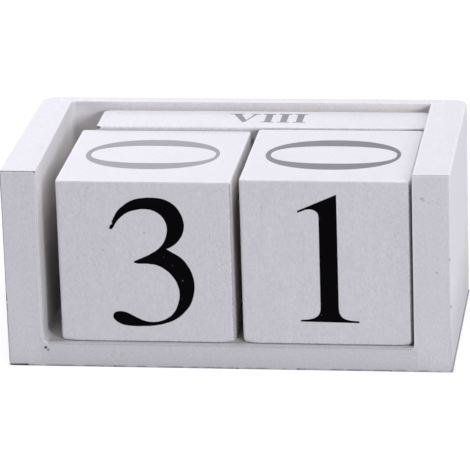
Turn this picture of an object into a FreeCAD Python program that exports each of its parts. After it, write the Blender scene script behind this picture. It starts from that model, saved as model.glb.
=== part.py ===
"""Desk block calendar: an open-fronted painted tray with two date cubes and a pile of month strips.

Millimetres, +Z up. The front of the tray faces -Y. The origin is under the middle of the tray.
"""
import FreeCAD, Part

import os

import Sketcher

os.makedirs("parts", exist_ok=True)
doc = FreeCAD.newDocument("block_calendar")

# ---------------------------------------------------------------------------------------------
# Driving dimensions
# ---------------------------------------------------------------------------------------------

SIZES = {
    # tray: its width and depth follow from what stands in it
    "tray_height": 60.2,
    "left_board_front": 10.5,      # the left board is planed a little thinner towards the back
    "left_board_rear": 9.5,
    "right_board": 11.0,
    "base_board_thickness": 7.4,
    "back_board_thickness": 4.9,
    "rebate_width": 4.0,           # how far the back board is let into each side
    "rear_corner_radius": 4.5,
    "foot_edge_radius": 1.6,       # rounding along the bottom of the outside faces
    "board_ease": 0.4,             # sandpapered edges
    # dowels between the sides and the base
    "dowel_diameter": 4.0,
    "dowel_length": 16.0,
    "dowel_in_side": 6.4,          # how much of each dowel sits in the side board
    "dowel_glue_gap": 0.05,        # glue film round a dowel
    "dowel_end_gap": 0.4,          # room for glue past each end of a dowel
    "dowel_first": 12.0,           # from the front of the tray to the first dowel
    "dowel_spacing": 23.0,
    "dowel_end_chamfer": 0.7,
    "dowel_flute_depth": 0.3,
    "dowel_flute_width": 0.7,
    # date cubes: sawn by hand, so the two are not quite alike
    "tens_width": 51.3,
    "tens_depth": 50.0,
    "tens_height": 49.5,
    "units_width": 49.6,
    "units_depth": 49.4,
    "units_height": 50.3,
    "cube_post_radius": 1.0,       # upright edges and the front and rear bottom edges
    "cube_foot_radius": 1.6,       # bottom edges at the left and right
    "cube_ease": 0.3,              # broken edges round the top face
    "cube_setback": 1.6,           # from the front of the tray to the face of a cube
    "cube_tipping_room": 5.4,      # between the left board and the tens cube, to tip the cubes out
    "cube_gap": 2.5,               # between the two cubes
    "cube_side_play": 0.6,         # between the units cube and the right board
    # month strips
    "strip_length": 99.8,
    "strip_depth": 16.5,
    "strip_thickness": 4.2,
    "strip_rear_radius": 2.0,
    "strip_front_corner": 0.5,     # small flats on the front corners
    "strip_ease": 0.35,            # broken edges round both faces
    "strip_side_play": 0.15,       # between the strips and the right board
    "strip_back_play": 0.2,        # between the lower strips and the back board
    "strip_cube_play": 0.6,        # between the strip in use and the deeper cube
    "top_strip_forward": 1.6,      # the strip in use lies this far ahead of the pile
    # what lies loose on something else
    "resting_gap": 0.02,
}

COUNTS = {
    "dowels_each_side": 3,
    "dowel_flutes": 4,
    "strip_count": 12,
}

sheet = doc.addObject("Spreadsheet::Sheet", "sizes")
for row, (alias, value) in enumerate({**SIZES, **COUNTS}.items(), start=1):
    sheet.set("A%d" % row, alias.replace("_", " "))
    sheet.set("B%d" % row, str(value))
    sheet.setAlias("B%d" % row, alias)
doc.recompute()

# ---------------------------------------------------------------------------------------------
# Small tools for bodies and sketches
# ---------------------------------------------------------------------------------------------

ON_EDGE = 0.01          # how close an edge has to lie to a plane to count as on it
bodies = []


def new_body(label, x="0", y="0", z="0"):
    """A body whose own origin stands at x, y, z of the tray's frame, each an expression of the sheet."""
    body = doc.addObject("PartDesign::Body", label)
    body.Label = label
    for axis, expression in zip("xyz", (x, y, z)):
        body.setExpression("Placement.Base." + axis, expression)
    bodies.append(body)
    return body


def origin_plane(body, role):
    return [feature for feature in body.Origin.OriginFeatures if feature.Role == role][0]


def new_sketch(body, name, role="XY_Plane", offset=None):
    """A sketch on one of the body's own origin planes, moved along the plane's normal by an expression."""
    sketch = body.newObject("Sketcher::SketchObject", name)
    sketch.AttachmentSupport = [(origin_plane(body, role), "")]
    sketch.MapMode = "FlatFace"
    if offset:
        sketch.setExpression("AttachmentOffset.Base.z", offset)
    return sketch


def set_size(sketch, constraint, name, expression):
    index = sketch.addConstraint(constraint)
    sketch.renameConstraint(index, name)
    sketch.setExpression("Constraints." + name, expression)


def draw_outline(sketch, corners):
    """A closed outline of straight lines. corners holds (name, start x, start y, x, y): a first position
    to draw it at, then the two expressions that fix the corner from the sketch's origin."""
    starts = [FreeCAD.Vector(corner[1], corner[2], 0) for corner in corners]
    for index, start in enumerate(starts):
        sketch.addGeometry(Part.LineSegment(start, starts[(index + 1) % len(starts)]), False)
    for index, (name, _, _, x, y) in enumerate(corners):
        following = (index + 1) % len(corners)
        sketch.addConstraint(Sketcher.Constraint("Coincident", index, 2, following, 1))
        for kind, letter, expression, value in (("DistanceX", "x", x, starts[index].x),
                                                ("DistanceY", "y", y, starts[index].y)):
            constraint = Sketcher.Constraint(kind, -1, 1, index, 1, value)
            set_size(sketch, constraint, name + "_" + letter, expression)


def draw_rectangle(sketch, width, depth):
    """A rectangle from the sketch's origin, width along its x and depth along its y."""
    w, d = sheet.get(width), sheet.get(depth)
    draw_outline(sketch, [("near_left", 0, 0, "0", "0"),
                          ("near_right", w, 0, "sizes." + width, "0"),
                          ("far_right", w, d, "sizes." + width, "sizes." + depth),
                          ("far_left", 0, d, "0", "sizes." + depth)])


def draw_circle(sketch, radius, x, y, start):
    """A circle whose radius and centre are expressions; start holds its first x, y and radius."""
    centre = FreeCAD.Vector(start[0], start[1], 0)
    sketch.addGeometry(Part.Circle(centre, FreeCAD.Vector(0, 0, 1), start[2]), False)
    set_size(sketch, Sketcher.Constraint("Radius", 0, start[2]), "radius", radius)
    set_size(sketch, Sketcher.Constraint("DistanceX", -1, 1, 0, 3, start[0]), "centre_x", x)
    set_size(sketch, Sketcher.Constraint("DistanceY", -1, 1, 0, 3, start[1]), "centre_y", y)


def pad(body, sketch, length, name="pad"):
    feature = body.newObject("PartDesign::Pad", name)
    feature.Profile = sketch
    feature.setExpression("Length", length)
    sketch.Visibility = False
    doc.recompute()
    return feature


def cut_through(body, sketch, reverse, name):
    """A pocket from the sketch's plane right out of the piece; it has to take something away."""
    before = body.Shape.Volume
    feature = body.newObject("PartDesign::Pocket", name)
    feature.Profile = sketch
    feature.Type = "ThroughAll"
    feature.Reversed = reverse
    doc.recompute()
    if not body.Shape.Volume < before:
        raise RuntimeError("%s in %s cuts nothing" % (name, body.Label))
    return feature


def pattern_along_y(body, features, count, spacing, name, whole=False):
    feature = body.newObject("PartDesign::LinearPattern", name)
    if whole:
        feature.TransformMode = "Whole shape"
    else:
        feature.Originals = features
    feature.Direction = (origin_plane(body, "Y_Axis"), [""])
    feature.Mode = "Spacing"
    feature.setExpression("Offset", spacing)
    feature.setExpression("Occurrences", count)
    body.Tip = feature
    doc.recompute()
    return feature


def edges_where(shape, test, upright):
    """Names of the edges whose two ends both pass the test; upright keeps only those along Z."""
    names = []
    for index, edge in enumerate(shape.Edges, start=1):
        points = [vertex.Point for vertex in edge.Vertexes]
        if len(points) != 2 or not all(test(point) for point in points):
            continue
        if upright and near(points[0].z, points[1].z):
            continue
        names.append("Edge%d" % index)
    return names


def dress_edges(body, test, kind, length, expression, name, upright):
    """A fillet or chamfer on the edges that pass the test, read off the body's present last feature."""
    base = body.Tip
    names = edges_where(base.Shape, test, upright)
    if not names:
        raise RuntimeError("%s in %s finds no edge" % (name, body.Label))
    feature = body.newObject(kind, name)
    feature.Base = (base, names)
    feature.setExpression(length, expression)
    doc.recompute()
    return feature


def round_edges(body, test, radius, name, upright=False):
    return dress_edges(body, test, "PartDesign::Fillet", "Radius", radius, name, upright)


def break_edges(body, test, leg, name, upright=False):
    return dress_edges(body, test, "PartDesign::Chamfer", "Size", leg, name, upright)


def near(value, target):
    return abs(value - target) < ON_EDGE


def size(alias):
    return float(sheet.get(alias))


def run_of(*aliases):
    """The expression for sizes that stand one behind the other."""
    return "(" + " + ".join("sizes." + alias for alias in aliases) + ")"


def length_of(*aliases):
    """What run_of comes to."""
    return sum(size(alias) for alias in aliases)


# ---------------------------------------------------------------------------------------------
# Tray: two sides, with the base pinned between them and the back let into their rear corners
# ---------------------------------------------------------------------------------------------

# what stands side by side, up to the inner face of the right board
ACROSS = ("left_board_front", "cube_tipping_room", "tens_width", "cube_gap", "units_width", "cube_side_play")
# what stands in front of the back board, apart from the cubes
DEEP = ("cube_setback", "strip_cube_play", "top_strip_forward", "strip_depth", "strip_back_play")
RIGHT_FACE_EXPR = run_of(*ACROSS)
BACK_FACE_EXPR = "(" + run_of(*DEEP) + " + max(sizes.tens_depth; sizes.units_depth))"
TRAY_WIDTH = "(" + RIGHT_FACE_EXPR + " + sizes.right_board)"
TRAY_DEPTH = "(" + BACK_FACE_EXPR + " + sizes.back_board_thickness)"
TRAY_LEFT = "-" + TRAY_WIDTH + " / 2"
TRAY_FRONT = "-" + TRAY_DEPTH + " / 2"
TRAY_RIGHT_FACE = TRAY_LEFT + " + " + RIGHT_FACE_EXPR
TRAY_BACK_FACE = TRAY_FRONT + " + " + BACK_FACE_EXPR

LEFT_FRONT, LEFT_REAR, RIGHT = size("left_board_front"), size("left_board_rear"), size("right_board")
BACK, REBATE = size("back_board_thickness"), size("rebate_width")
BASE, H = size("base_board_thickness"), size("tray_height")
RIGHT_FACE = length_of(*ACROSS)
BACK_FACE = length_of(*DEEP) + max(size("tens_depth"), size("units_depth"))
W, D = RIGHT_FACE + RIGHT, BACK_FACE + BACK
DOWEL_HEIGHT = "sizes.base_board_thickness / 2"
HOLE_RADIUS = "sizes.dowel_diameter / 2 + sizes.dowel_glue_gap"
HOLE_START = (size("dowel_first"), BASE / 2, size("dowel_diameter") / 2)


def drill_dowel_holes(body, floor, towards_plus_x, name):
    """Blind holes along X whose flat floor lies at x = floor, one for each dowel of that side."""
    sketch = new_sketch(body, name + "_sketch", "YZ_Plane", floor)
    draw_circle(sketch, HOLE_RADIUS, "sizes.dowel_first", DOWEL_HEIGHT, HOLE_START)
    hole = cut_through(body, sketch, towards_plus_x, name)
    pattern_along_y(body, [hole], "sizes.dowels_each_side", "sizes.dowel_spacing", name + "_row")


def left_side():
    """Planed board with a slightly slanting inner face, a rebate for the back and blind dowel holes."""
    body = new_body("left_side", TRAY_LEFT, TRAY_FRONT)
    sketch = new_sketch(body, "left_side_plan")
    notch = "sizes.left_board_rear - sizes.rebate_width"
    draw_outline(sketch, [
        ("outer_front", 0, 0, "0", "0"),
        ("inner_front", LEFT_FRONT, 0, "sizes.left_board_front", "0"),
        ("inner_rear", LEFT_REAR, BACK_FACE, "sizes.left_board_rear", BACK_FACE_EXPR),
        ("notch_floor", LEFT_REAR - REBATE, BACK_FACE, notch, BACK_FACE_EXPR),
        ("notch_rear", LEFT_REAR - REBATE, D, notch, TRAY_DEPTH),
        ("outer_rear", 0, D, "0", TRAY_DEPTH),
    ])
    pad(body, sketch, "sizes.tray_height")
    floor = "sizes.left_board_rear - sizes.dowel_in_side - sizes.dowel_end_gap"
    drill_dowel_holes(body, floor, True, "left_dowel_hole")
    round_edges(body, lambda p: near(p.x, 0) and near(p.y, D),
                "min(sizes.rear_corner_radius; sizes.left_board_rear - sizes.rebate_width - sizes.board_ease)",
                "rear_corner")
    round_edges(body, lambda p: near(p.x, 0) and near(p.z, 0), "sizes.foot_edge_radius", "foot_edge")
    round_edges(body, lambda p: near(p.x, 0) and near(p.y, 0)
                or near(p.z, H) and (near(p.x, 0) or near(p.y, 0))
                or near(p.z, H) and p.x > LEFT_REAR - ON_EDGE and p.y < BACK_FACE + ON_EDGE,
                "sizes.board_ease", "ease")
    return body


def right_side():
    """Plain board with a rebate for the back and blind dowel holes; its own origin is on its inner face."""
    body = new_body("right_side", TRAY_RIGHT_FACE, TRAY_FRONT)
    sketch = new_sketch(body, "right_side_plan")
    draw_outline(sketch, [
        ("inner_front", 0, 0, "0", "0"),
        ("outer_front", RIGHT, 0, "sizes.right_board", "0"),
        ("outer_rear", RIGHT, D, "sizes.right_board", TRAY_DEPTH),
        ("notch_rear", REBATE, D, "sizes.rebate_width", TRAY_DEPTH),
        ("notch_floor", REBATE, BACK_FACE, "sizes.rebate_width", BACK_FACE_EXPR),
        ("inner_rear", 0, BACK_FACE, "0", BACK_FACE_EXPR),
    ])
    pad(body, sketch, "sizes.tray_height")
    drill_dowel_holes(body, "sizes.dowel_in_side + sizes.dowel_end_gap", False, "right_dowel_hole")
    round_edges(body, lambda p: near(p.x, RIGHT) and near(p.y, D),
                "min(sizes.rear_corner_radius; sizes.right_board - sizes.rebate_width - sizes.board_ease)",
                "rear_corner")
    round_edges(body, lambda p: near(p.x, RIGHT) and near(p.z, 0), "sizes.foot_edge_radius", "foot_edge")
    round_edges(body, lambda p: near(p.x, RIGHT) and near(p.y, 0)
                or near(p.z, H) and (near(p.x, RIGHT) or near(p.y, 0))
                or near(p.z, H) and near(p.x, 0) and p.y < BACK_FACE + ON_EDGE,
                "sizes.board_ease", "ease")
    return body


def base_board():
    """Bottom board between the sides and in front of the back, drilled at both ends for the dowels."""
    body = new_body("base_board", TRAY_LEFT, TRAY_FRONT)
    sketch = new_sketch(body, "base_plan")
    draw_outline(sketch, [
        ("front_left", LEFT_FRONT, 0, "sizes.left_board_front", "0"),
        ("front_right", RIGHT_FACE, 0, RIGHT_FACE_EXPR, "0"),
        ("rear_right", RIGHT_FACE, BACK_FACE, RIGHT_FACE_EXPR, BACK_FACE_EXPR),
        ("rear_left", LEFT_REAR, BACK_FACE, "sizes.left_board_rear", BACK_FACE_EXPR),
    ])
    pad(body, sketch, "sizes.base_board_thickness")
    drill_dowel_holes(body, "sizes.left_board_rear - sizes.dowel_in_side + sizes.dowel_length"
                      " + sizes.dowel_end_gap", False, "left_end_hole")
    drill_dowel_holes(body, RIGHT_FACE_EXPR + " + sizes.dowel_in_side - sizes.dowel_length"
                      " - sizes.dowel_end_gap", True, "right_end_hole")
    round_edges(body, lambda p: near(p.y, 0) and (near(p.z, 0) or near(p.z, BASE)), "sizes.board_ease", "ease")
    return body


def back_board():
    """Thin upright board let into both sides, with its bottom edge rounded like theirs."""
    body = new_body("back_board", TRAY_LEFT + " + sizes.left_board_rear - sizes.rebate_width",
                    TRAY_BACK_FACE)
    sketch = new_sketch(body, "back_plan")
    width = RIGHT_FACE_EXPR + " - sizes.left_board_rear + 2 * sizes.rebate_width"
    start = RIGHT_FACE - LEFT_REAR + 2 * REBATE
    draw_outline(sketch, [
        ("front_left", 0, 0, "0", "0"),
        ("front_right", start, 0, width, "0"),
        ("rear_right", start, BACK, width, "sizes.back_board_thickness"),
        ("rear_left", 0, BACK, "0", "sizes.back_board_thickness"),
    ])
    pad(body, sketch, "sizes.tray_height")
    round_edges(body, lambda p: near(p.y, BACK) and near(p.z, 0), "sizes.foot_edge_radius", "foot_edge")
    round_edges(body, lambda p: near(p.y, BACK) and near(p.z, H), "sizes.board_ease", "ease")
    return body


def dowels(label, start):
    """A row of fluted wooden dowels along X from x = start, with chamfered ends; the flutes let glue out."""
    body = new_body(label, start, TRAY_FRONT + " + sizes.dowel_first", DOWEL_HEIGHT)
    body.AllowCompound = True
    radius, length, chamfer = size("dowel_diameter") / 2, size("dowel_length"), size("dowel_end_chamfer")
    rim, tip = "sizes.dowel_diameter / 2", "sizes.dowel_diameter / 2 - sizes.dowel_end_chamfer"
    profile = new_sketch(body, label + "_profile")
    draw_outline(profile, [
        ("axis_start", 0, 0, "0", "0"),
        ("axis_end", length, 0, "sizes.dowel_length", "0"),
        ("end_face", length, radius - chamfer, "sizes.dowel_length", tip),
        ("end_rim", length - chamfer, radius, "sizes.dowel_length - sizes.dowel_end_chamfer", rim),
        ("start_rim", chamfer, radius, "sizes.dowel_end_chamfer", rim),
        ("start_face", 0, radius - chamfer, "0", tip),
    ])
    turned = body.newObject("PartDesign::Revolution", "turned")
    turned.Profile = profile
    turned.ReferenceAxis = (origin_plane(body, "X_Axis"), [""])
    doc.recompute()
    deep, half = size("dowel_flute_depth"), size("dowel_flute_width") / 2
    groove = new_sketch(body, label + "_flute", "YZ_Plane")
    draw_outline(groove, [
        ("root", 0, radius - deep, "0", rim + " - sizes.dowel_flute_depth"),
        ("right_lip", half, radius, "sizes.dowel_flute_width / 2", rim),
        ("left_lip", -half, radius, "-sizes.dowel_flute_width / 2", rim),
    ])
    flute = cut_through(body, groove, True, "flute")
    flutes = body.newObject("PartDesign::PolarPattern", "flutes")
    flutes.Originals = [flute]
    flutes.Axis = (origin_plane(body, "X_Axis"), [""])
    flutes.setExpression("Occurrences", "sizes.dowel_flutes")
    body.Tip = flutes
    doc.recompute()
    pattern_along_y(body, [], "sizes.dowels_each_side", "sizes.dowel_spacing", "dowel_row", whole=True)
    return body


# ---------------------------------------------------------------------------------------------
# Date cubes: solid blocks that stand loose on the base and lift out to be turned
# ---------------------------------------------------------------------------------------------

CUBE_FRONT = TRAY_FRONT + " + sizes.cube_setback"
CUBE_FOOT = "sizes.base_board_thickness + sizes.resting_gap"
TENS_LEFT = TRAY_LEFT + " + " + run_of("left_board_front", "cube_tipping_room")
UNITS_LEFT = TENS_LEFT + " + " + run_of("tens_width", "cube_gap")


def date_cube(which, left):
    """A block with a crisp sawn top and sanded uprights and feet."""
    width, depth, height = (which + suffix for suffix in ("_width", "_depth", "_height"))
    body = new_body(which + "_cube", left, CUBE_FRONT, CUBE_FOOT)
    sketch = new_sketch(body, which + "_plan")
    draw_rectangle(sketch, width, depth)
    pad(body, sketch, "sizes." + height)
    w, d, h = size(width), size(depth), size(height)

    def at_side(p):
        return near(p.x, 0) or near(p.x, w)

    def at_end(p):
        return near(p.y, 0) or near(p.y, d)

    for side in (0, w):
        round_edges(body, lambda p: near(p.x, side) and near(p.z, 0), "sizes.cube_foot_radius", "foot")
    round_edges(body, lambda p: at_side(p) and at_end(p), "sizes.cube_post_radius", "uprights", upright=True)
    break_edges(body, lambda p: near(p.z, h), "sizes.cube_ease", "top_ease")
    return body


# ---------------------------------------------------------------------------------------------
# Month strips: twelve thin strips, piled behind the cubes with the month in use on top
# ---------------------------------------------------------------------------------------------

STRIP_LEFT = TRAY_RIGHT_FACE + " - sizes.strip_side_play - sizes.strip_length"
STRIP_FRONT = TRAY_BACK_FACE + " - sizes.strip_back_play - sizes.strip_depth"


def month_strip(number):
    """Strip number 1 is the top one, pulled a little forward; the rest lie against the back board."""
    below = "(sizes.strip_count - %d)" % number
    height = "sizes.base_board_thickness + sizes.resting_gap + %s * (sizes.strip_thickness" \
             " + sizes.resting_gap)" % below
    front = STRIP_FRONT + " - sizes.top_strip_forward" if number == 1 else STRIP_FRONT
    body = new_body("month_strip_%02d" % number, STRIP_LEFT, front, height)
    sketch = new_sketch(body, "strip_plan_%02d" % number)
    draw_rectangle(sketch, "strip_length", "strip_depth")
    pad(body, sketch, "sizes.strip_thickness")
    length, depth, thickness = size("strip_length"), size("strip_depth"), size("strip_thickness")

    def at_end(p):
        return near(p.x, 0) or near(p.x, length)

    round_edges(body, lambda p: at_end(p) and near(p.y, depth), "sizes.strip_rear_radius",
                "rear_corners", upright=True)
    break_edges(body, lambda p: at_end(p) and near(p.y, 0), "sizes.strip_front_corner",
                "front_corners", upright=True)
    break_edges(body, lambda p: near(p.z, 0) or near(p.z, thickness), "sizes.strip_ease", "ease")
    return body


# ---------------------------------------------------------------------------------------------
# Build, check and write
# ---------------------------------------------------------------------------------------------

left_side()
right_side()
base_board()
back_board()
dowels("left_dowels", TRAY_LEFT + " + sizes.left_board_rear - sizes.dowel_in_side")
dowels("right_dowels", TRAY_RIGHT_FACE + " + sizes.dowel_in_side - sizes.dowel_length")
date_cube("tens", TENS_LEFT)
date_cube("units", UNITS_LEFT)
for strip_number in range(1, COUNTS["strip_count"] + 1):
    month_strip(strip_number)
doc.recompute()

for item in doc.Objects:
    if "Invalid" in item.State or "Error" in item.State:
        raise RuntimeError("%s did not compute: %s" % (item.Name, item.State))
    if item.TypeId == "Sketcher::SketchObject" and not item.FullyConstrained:
        raise RuntimeError("%s is not fully constrained" % item.Name)

for body in bodies:
    shape = body.Shape
    if shape.isNull() or not shape.isValid():
        raise RuntimeError("%s has no valid shape" % body.Label)
    shape.exportStep("parts/%s.step" % body.Label)
    box = shape.BoundBox
    print("%-16s %d solid  %8.0f mm3  x %7.2f %7.2f  y %7.2f %7.2f  z %6.2f %6.2f" % (
        body.Label, len(shape.Solids), shape.Volume,
        box.XMin, box.XMax, box.YMin, box.YMax, box.ZMin, box.ZMax))
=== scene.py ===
import math

import bmesh
import bpy
from mathutils import Matrix, Vector, noise


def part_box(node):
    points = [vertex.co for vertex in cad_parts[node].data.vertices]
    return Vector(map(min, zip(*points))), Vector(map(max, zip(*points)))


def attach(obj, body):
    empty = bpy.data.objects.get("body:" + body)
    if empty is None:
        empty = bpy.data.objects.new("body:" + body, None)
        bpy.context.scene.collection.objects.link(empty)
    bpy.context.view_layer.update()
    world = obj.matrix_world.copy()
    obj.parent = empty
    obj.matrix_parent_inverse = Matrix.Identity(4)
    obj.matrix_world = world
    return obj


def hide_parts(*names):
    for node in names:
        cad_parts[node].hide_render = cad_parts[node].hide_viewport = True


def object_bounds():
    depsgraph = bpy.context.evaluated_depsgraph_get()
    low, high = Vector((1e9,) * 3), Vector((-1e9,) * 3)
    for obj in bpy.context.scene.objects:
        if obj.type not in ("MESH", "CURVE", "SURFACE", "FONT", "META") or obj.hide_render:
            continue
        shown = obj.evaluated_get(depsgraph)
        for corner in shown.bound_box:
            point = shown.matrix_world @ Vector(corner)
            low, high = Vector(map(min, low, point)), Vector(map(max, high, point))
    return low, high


# A desk block calendar: a white painted tray with two date cubes and a pile of month strips behind.
# Metres throughout, in the tray's own frame: origin on the desk under the middle of the tray, +X to
# the right as the calendar is read, -Y out of the open front, +Z up. Sizes are written in millimetres.
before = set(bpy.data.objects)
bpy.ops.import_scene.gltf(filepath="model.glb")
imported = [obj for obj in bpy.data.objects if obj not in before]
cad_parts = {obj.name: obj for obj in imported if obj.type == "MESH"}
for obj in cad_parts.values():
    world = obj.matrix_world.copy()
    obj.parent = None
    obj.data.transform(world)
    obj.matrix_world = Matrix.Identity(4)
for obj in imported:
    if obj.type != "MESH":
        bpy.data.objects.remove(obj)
cad_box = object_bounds()
MM = 0.001

# ----------------------------------
# Tray: four planed softwood boards, glued and dowelled, filled flush at the joints and then brushed
# with matt white paint. The grain shows through a little and the arrises are rubbed. A painted highlight
# whitens every edge, painted shade darkens the boards towards the desk, and a painted shadow lines the foot.

WHITE_PAINT = (0.83, 0.806, 0.77)
# dark bare wood where the paint is worn, and the colour of painted shadow along the tray's foot
WORN_WOOD_AND_SHADOW = (0.20, 0.19, 0.19)
TEAL_SPLASH = (0.02, 0.09, 0.10)
PALE_TEAL = (0.27, 0.36, 0.38)
BLUE_SMUDGE = (0.60, 0.62, 0.64)
GREY_SMUDGE = (0.64, 0.63, 0.62)
FAINT_SMUDGE = (0.73, 0.73, 0.72)
# painted shade along the base's top front lip, before the cubes
LIP_SHADE_GREY = (0.56, 0.55, 0.54)
# a grey worn arris, and painted shade down an edge turned away from the light
EDGE_WEAR_AND_SHADE_GREY = (0.45, 0.44, 0.45)
# painted shade, darker low on the boards and up the tray's two ends
LOW_SHADE_GREY = (0.50, 0.48, 0.46)
# painted shadow, nearly black, along a foot
FOOT_SHADOW_BLACK = (0.03, 0.028, 0.03)
VECTOR, FLOAT = "NodeSocketVector", "NodeSocketFloat"    # the kinds of a node group's sockets
POINT_IN_BOX = [(VECTOR, label, None) for label in ("Vector", "Low", "High")]
GRAIN_TURN = {"X": (0, math.pi / 2, 0), "Y": (math.pi / 2, 0, 0), "Z": (0, 0, 0)}
# how finely the paint's features are sown, as noise scales per metre
FIBRE_SCALE, STIPPLE_SCALE, MOTTLE_SCALE = 620.0, 1700.0, 75.0
POCK_SCALE, POCK_PATCH_SCALE, PINHOLE_SCALE = 820.0, 48.0, 210.0
RUB_SCALE, FOOT_SHADOW_SCALE, RAGGED_SCALE = 330.0, 260.0, 2600.0
FIBRE_DRAW, STIPPLE_DRAW = 0.08, 0.6    # share of their z, which draws them out along the grain
# where a mask sets in and where it is full: noise and cell distances without a unit, the rest in mm
POCK_PATCH, POCK_EDGE, PIT_EDGE = (0.45, 0.85), (0.34, 0.14), (0.09, 0.03)
RUB_PATCH, FOOT_SHADOW_PATCH, MARK_EDGE = (0.8, 1.15), (-0.7, 0.3), (1.0, 0.55)
# the reach of rubbed wear from an edge, and of the painted highlight along it
ARRIS_RUB, EDGE_HIGHLIGHT_REACH = (0.5, 0.1), (0.8, 0.45)     # from an edge
# reaches of the painted shadow along the foot and of the painted shade low down and up the ends
FOOT_RIM, END_SHADE_REACH = (1.4, 0.7), (0.85, 0.15)      # from the tray's edges, and from its two ends
FOOT_SHADOW_RISE, LOW_SHADE_RISE, END_SHADE_RISE = (0.8, 0.25), (4.5, 0.0), (28.0, 2.0)    # above the desk
# how much each mask changes the paint
# the second share is a painted highlight along edges; the fourth also darkens the painted foot shadow
TONE_SHADE, EDGE_HIGHLIGHT_SHARE, PIT_SHADE, BARE_AND_SHADOW_SHARE, POCK_SHADE = 0.065, 0.06, 0.3, 0.75, 1.1
# shares of the painted shade low down and at the ends, and of the painted foot shadow
LOW_SHADE_SHARE, END_SHADE_SHARE, FOOT_SHADOW_SHARE = 0.22, 0.55, 0.85
TONE_ROUGHNESS, BARE_ROUGHNESS, PAINT_ROUGHNESS, PAINT_GLOSS = 0.05, 0.2, 0.5, 0.3
PAINT_STRENGTH, PAINT_RELIEF = 0.5, 0.03            # the relief in mm
# how deep each feature is, as a share of that relief
STREAK_DEPTH, PATCH_DEPTH, POCK_DEPTH, PIT_DEPTH, BARE_DEPTH = 0.6, 0.3, 2.0, 4.0, 2.0


def reckoner(operation):
    """A method of Figure that works out one operation."""
    return lambda figure, *others: figure.reckon(operation, *others)


class Figure:
    """A number inside a node tree: plain arithmetic on it adds the Math nodes that work it out."""

    def __init__(self, tree, socket):
        self.tree = tree
        self.socket = socket

    def reckon(self, operation, *others):
        node = self.tree.nodes.new("ShaderNodeMath")
        node.operation = operation
        for slot, value in zip(node.inputs, (self, *others)):
            plug(self.tree, value, slot)
        return Figure(self.tree, node.outputs[0])

    def __rsub__(self, other):
        return self * -1 + other

    __add__ = __radd__ = reckoner("ADD")
    __sub__ = reckoner("SUBTRACT")
    __mul__ = __rmul__ = reckoner("MULTIPLY")
    __truediv__ = reckoner("DIVIDE")
    at_least = reckoner("MAXIMUM")
    at_most = reckoner("MINIMUM")
    over = reckoner("GREATER_THAN")
    size = reckoner("ABSOLUTE")


def plug(tree, value, slot):
    """Gives an input its value, which is a Figure, another node's output, or plain numbers."""
    if isinstance(value, Figure):
        tree.links.new(value.socket, slot)
    elif isinstance(value, bpy.types.NodeSocket):
        tree.links.new(value, slot)
    else:
        slot.default_value = value


def fill(tree, node, **inputs):
    """Gives a node its inputs, each named in small letters with _ for spaces."""
    for key, value in inputs.items():
        plug(tree, value, next(s for s in node.inputs if s.name.lower().replace(" ", "_") == key))
    return node


def add(tree, kind, settings=(), **inputs):
    """A new node with its settings and inputs."""
    node = tree.nodes.new(kind)
    for key, value in dict(settings).items():
        setattr(node, key, value)
    return fill(tree, node, **inputs)


def three_ways(tree, vector):
    """The x, y and z of a vector, as Figures."""
    parts = add(tree, "ShaderNodeSeparateXYZ", vector=vector)
    return [Figure(tree, socket) for socket in parts.outputs]


def mm(span):
    """A pair of sizes in mm, in metres."""
    return [size * MM for size in span]


def ramp(tree, value, start, end):
    """0 up to start, 1 from end on, and a soft step between them; start may be past end."""
    node = add(tree, "ShaderNodeMapRange", {"interpolation_type": "SMOOTHSTEP"},
               value=value, from_min=start, from_max=end)
    return Figure(tree, node.outputs["Result"])


def speckle(tree, vector, scale, detail=2.0, fourth=None):
    """Noise from about -1 to 1."""
    node = add(tree, "ShaderNodeTexNoise", {"noise_dimensions": "3D" if fourth is None else "4D"},
               vector=vector, scale=scale, detail=detail)
    if fourth is not None:
        plug(tree, fourth, node.inputs["W"])
    return (Figure(tree, node.outputs[0]) - 0.5) * 4.0


def drawn_out(tree, vector, shares):
    """The vector with its x, y and z cut to a share each, which draws a pattern out that way."""
    node = add(tree, "ShaderNodeVectorMath", {"operation": "MULTIPLY"})
    plug(tree, vector, node.inputs[0])
    plug(tree, shares, node.inputs[1])
    return node.outputs[0]


def new_group(name, kind, inputs, outputs):
    """An empty node group. Its inputs are (socket kind, label, value) and its outputs (kind, label)."""
    tree = bpy.data.node_groups.new(name, kind)
    for socket_kind, label, value in inputs:
        socket = tree.interface.new_socket(label, in_out="INPUT", socket_type=socket_kind)
        if value is not None:
            socket.default_value = value
    for socket_kind, label in outputs:
        tree.interface.new_socket(label, in_out="OUTPUT", socket_type=socket_kind)
    return tree, tree.nodes.new("NodeGroupInput"), tree.nodes.new("NodeGroupOutput")


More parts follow.
